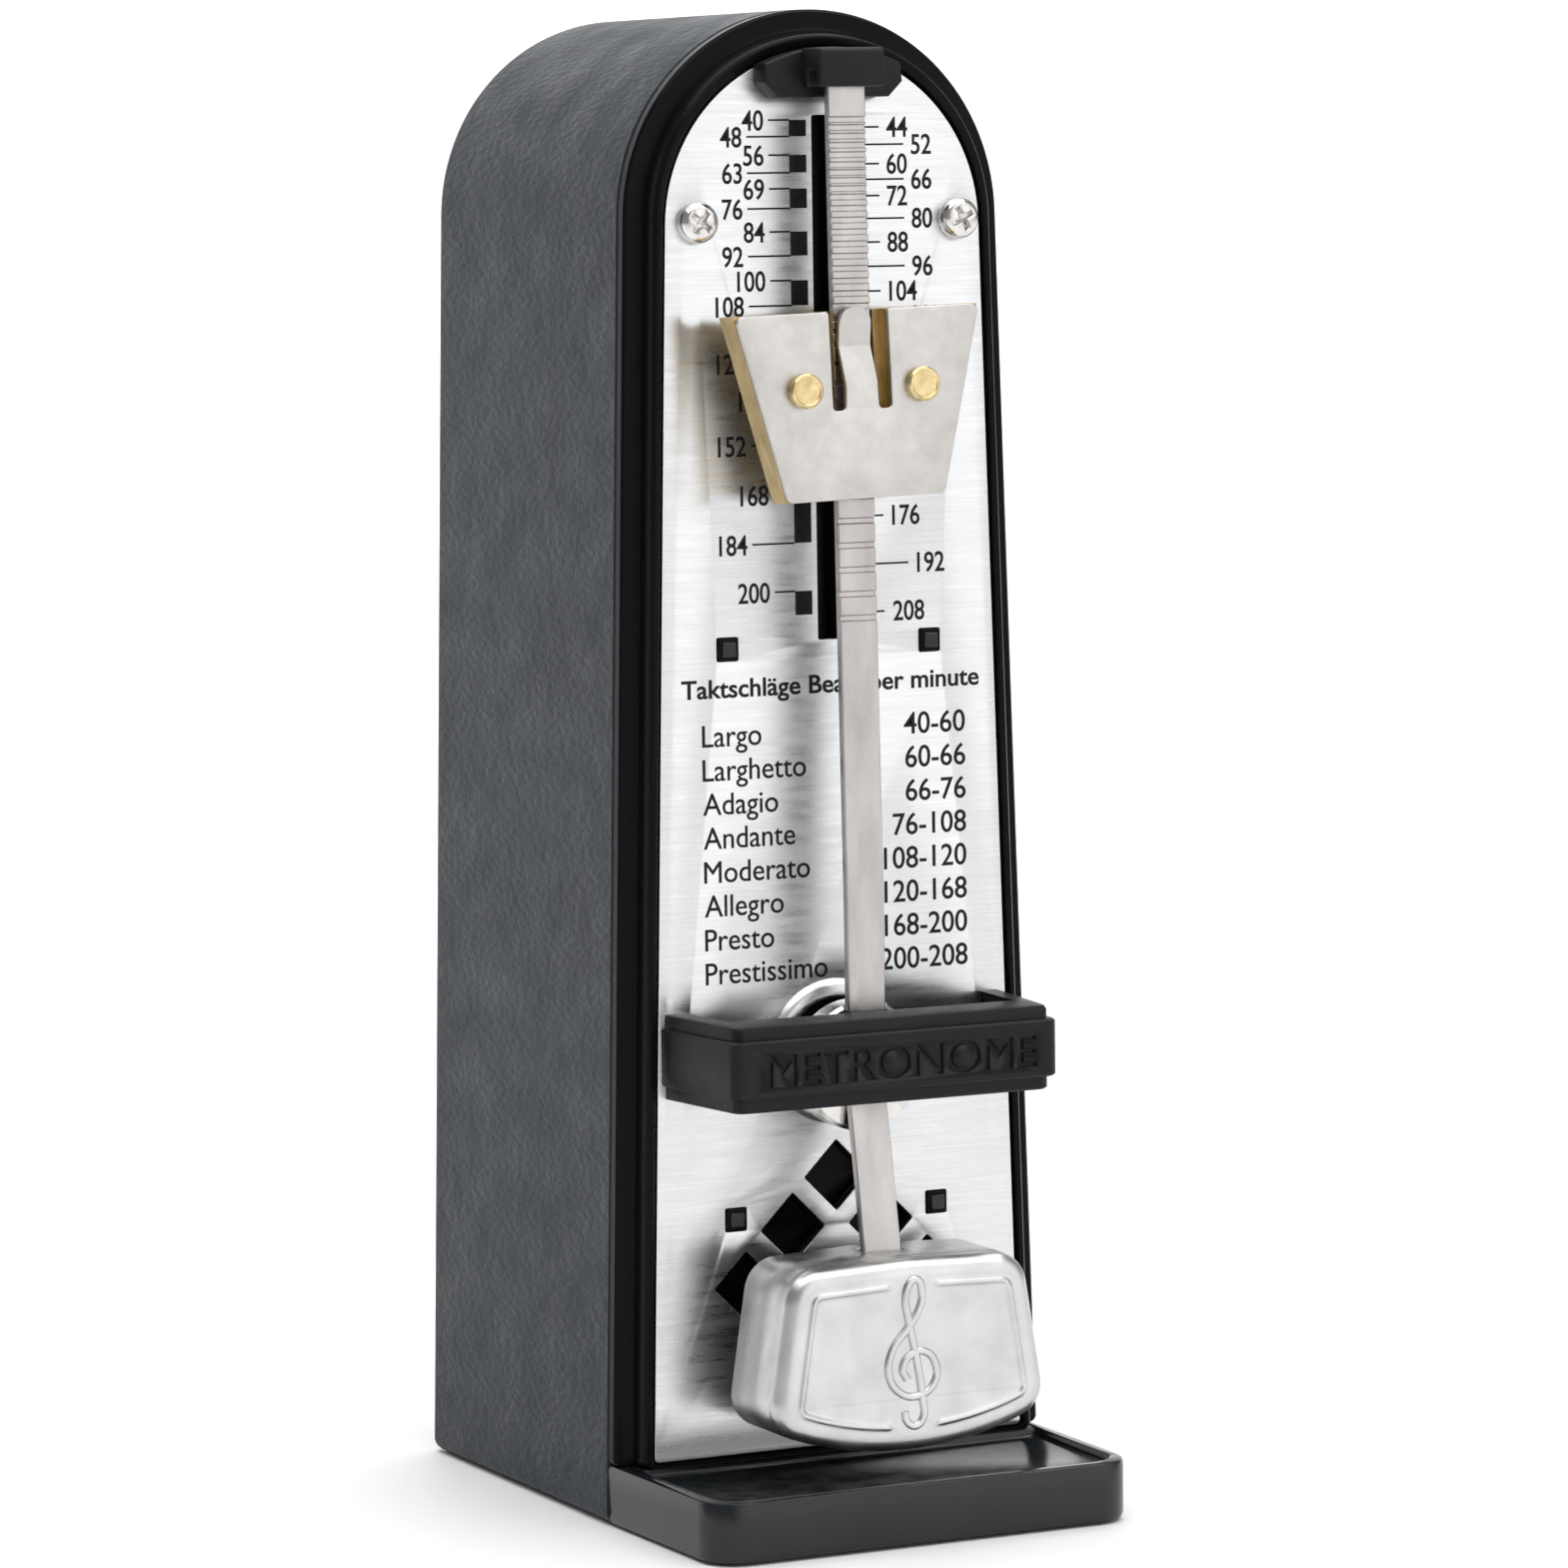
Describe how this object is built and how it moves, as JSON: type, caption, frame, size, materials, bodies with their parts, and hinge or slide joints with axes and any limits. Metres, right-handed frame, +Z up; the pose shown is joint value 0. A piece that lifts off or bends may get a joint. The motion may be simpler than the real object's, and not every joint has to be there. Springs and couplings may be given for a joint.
{
  "type": "metronome",
  "caption": "Small wind-up metronome: arch-topped plastic case, metal tempo dial, notched pendulum rod with sliding weight and a heavy bob.",
  "frame": {"origin": "on the standing face, on the case's centre line, in the plane where the rear shell meets the front frame", "axes": "+X to the right of the dial, +Y to the back of the case, +Z up; the dial faces -Y"},
  "size_m": [0.035, 0.0624, 0.11],
  "materials": {
    "shell": "satin",
    "frame": "gloss",
    "tray": "gloss",
    "pad": "matte",
    "plate": "satin",
    "dial_screws": "polished",
    "bar": "satin",
    "catch": "satin",
    "screws": "satin",
    "movement_brass": "satin",
    "wheel_brass": "satin",
    "steel": "satin",
    "spring_steel": "satin",
    "bush": "satin",
    "hub": "satin",
    "rod": "satin",
    "bob": "satin",
    "bob_core": "matte",
    "weight_body": "satin",
    "weight_plate": "satin",
    "weight_rivets": "polished",
    "key": "polished"
  },
  "bodies": {
    "case": {"rear_shell": "shell", "front_frame": "frame", "foot_tray": "tray", "base_pad": "pad", "scale_plate": "plate", "plate_screws": "dial_screws", "name_bar": "bar", "rod_catch": "catch", "case_screws": "screws", "foot_screws": "screws", "front_movement_plate": "movement_brass", "rear_movement_plate": "movement_brass", "movement_pillars": "movement_brass", "movement_screws": "screws", "click_stud": "steel", "click_spring": "spring_steel", "arbor_bushes": "bush"},
    "pendulum": {"pendulum_arbor": "steel", "pallet_anchor": "steel", "rod_hub": "hub", "pendulum_rod": "rod", "bob_shell": "bob", "bob_core": "bob_core"},
    "tempo_weight": {"weight_body": "weight_body", "weight_spring_plate": "weight_plate", "weight_rivets": "weight_rivets"},
    "winding": {"barrel_arbor": "steel", "ratchet_wheel": "steel", "winding_key": "key"},
    "click_lever": {"click": "steel"},
    "barrel": {"spring_barrel": "movement_brass", "barrel_cover": "movement_brass", "mainspring": "spring_steel"},
    "intermediate": {"intermediate_wheel": "wheel_brass", "intermediate_pinion": "steel"},
    "escape": {"escape_wheel": "wheel_brass", "escape_pinion": "steel"}
  },
  "joints": [
    {"name": "pendulum_swing", "type": "hinge", "parent": "case", "child": "pendulum", "pos_m": [0, 0, 0.0336], "axis": [0, 1, 0], "range_deg": [-25, 25]},
    {"name": "tempo_weight_slide", "type": "slide", "parent": "pendulum", "child": "tempo_weight", "axis": [0, 0.0237, 0.9997], "range_m": [-0.0223, 0.0135]},
    {"name": "key_winding", "type": "hinge", "parent": "case", "child": "winding", "pos_m": [0, 0, 0.0185], "axis": [0, 1, 0], "continuous": true},
    {"name": "click_lift", "type": "hinge", "parent": "case", "child": "click_lever", "pos_m": [0.0072, 0.0216, 0.0215], "axis": [0, 1, 0], "range_deg": [0, 10], "stiffness_Nm_per_rad": 0.0005, "springref_deg": -11.46},
    {"name": "barrel_turn", "type": "hinge", "parent": "case", "child": "barrel", "pos_m": [0, 0.013, 0.0185], "axis": [0, 1, 0], "continuous": true},
    {"name": "intermediate_turn", "type": "hinge", "parent": "case", "child": "intermediate", "pos_m": [-0.00721, 0.0046, 0.02871], "axis": [0, 1, 0], "continuous": true},
    {"name": "escape_turn", "type": "hinge", "parent": "case", "child": "escape", "pos_m": [-0.00791, 0.0106, 0.03688], "axis": [0, 1, 0], "continuous": true}
  ],
  "couplings": [
    {"joint": "intermediate_turn", "follows": "barrel_turn", "ratio": -5.2},
    {"joint": "escape_turn", "follows": "barrel_turn", "ratio": 29.9}
  ]
}
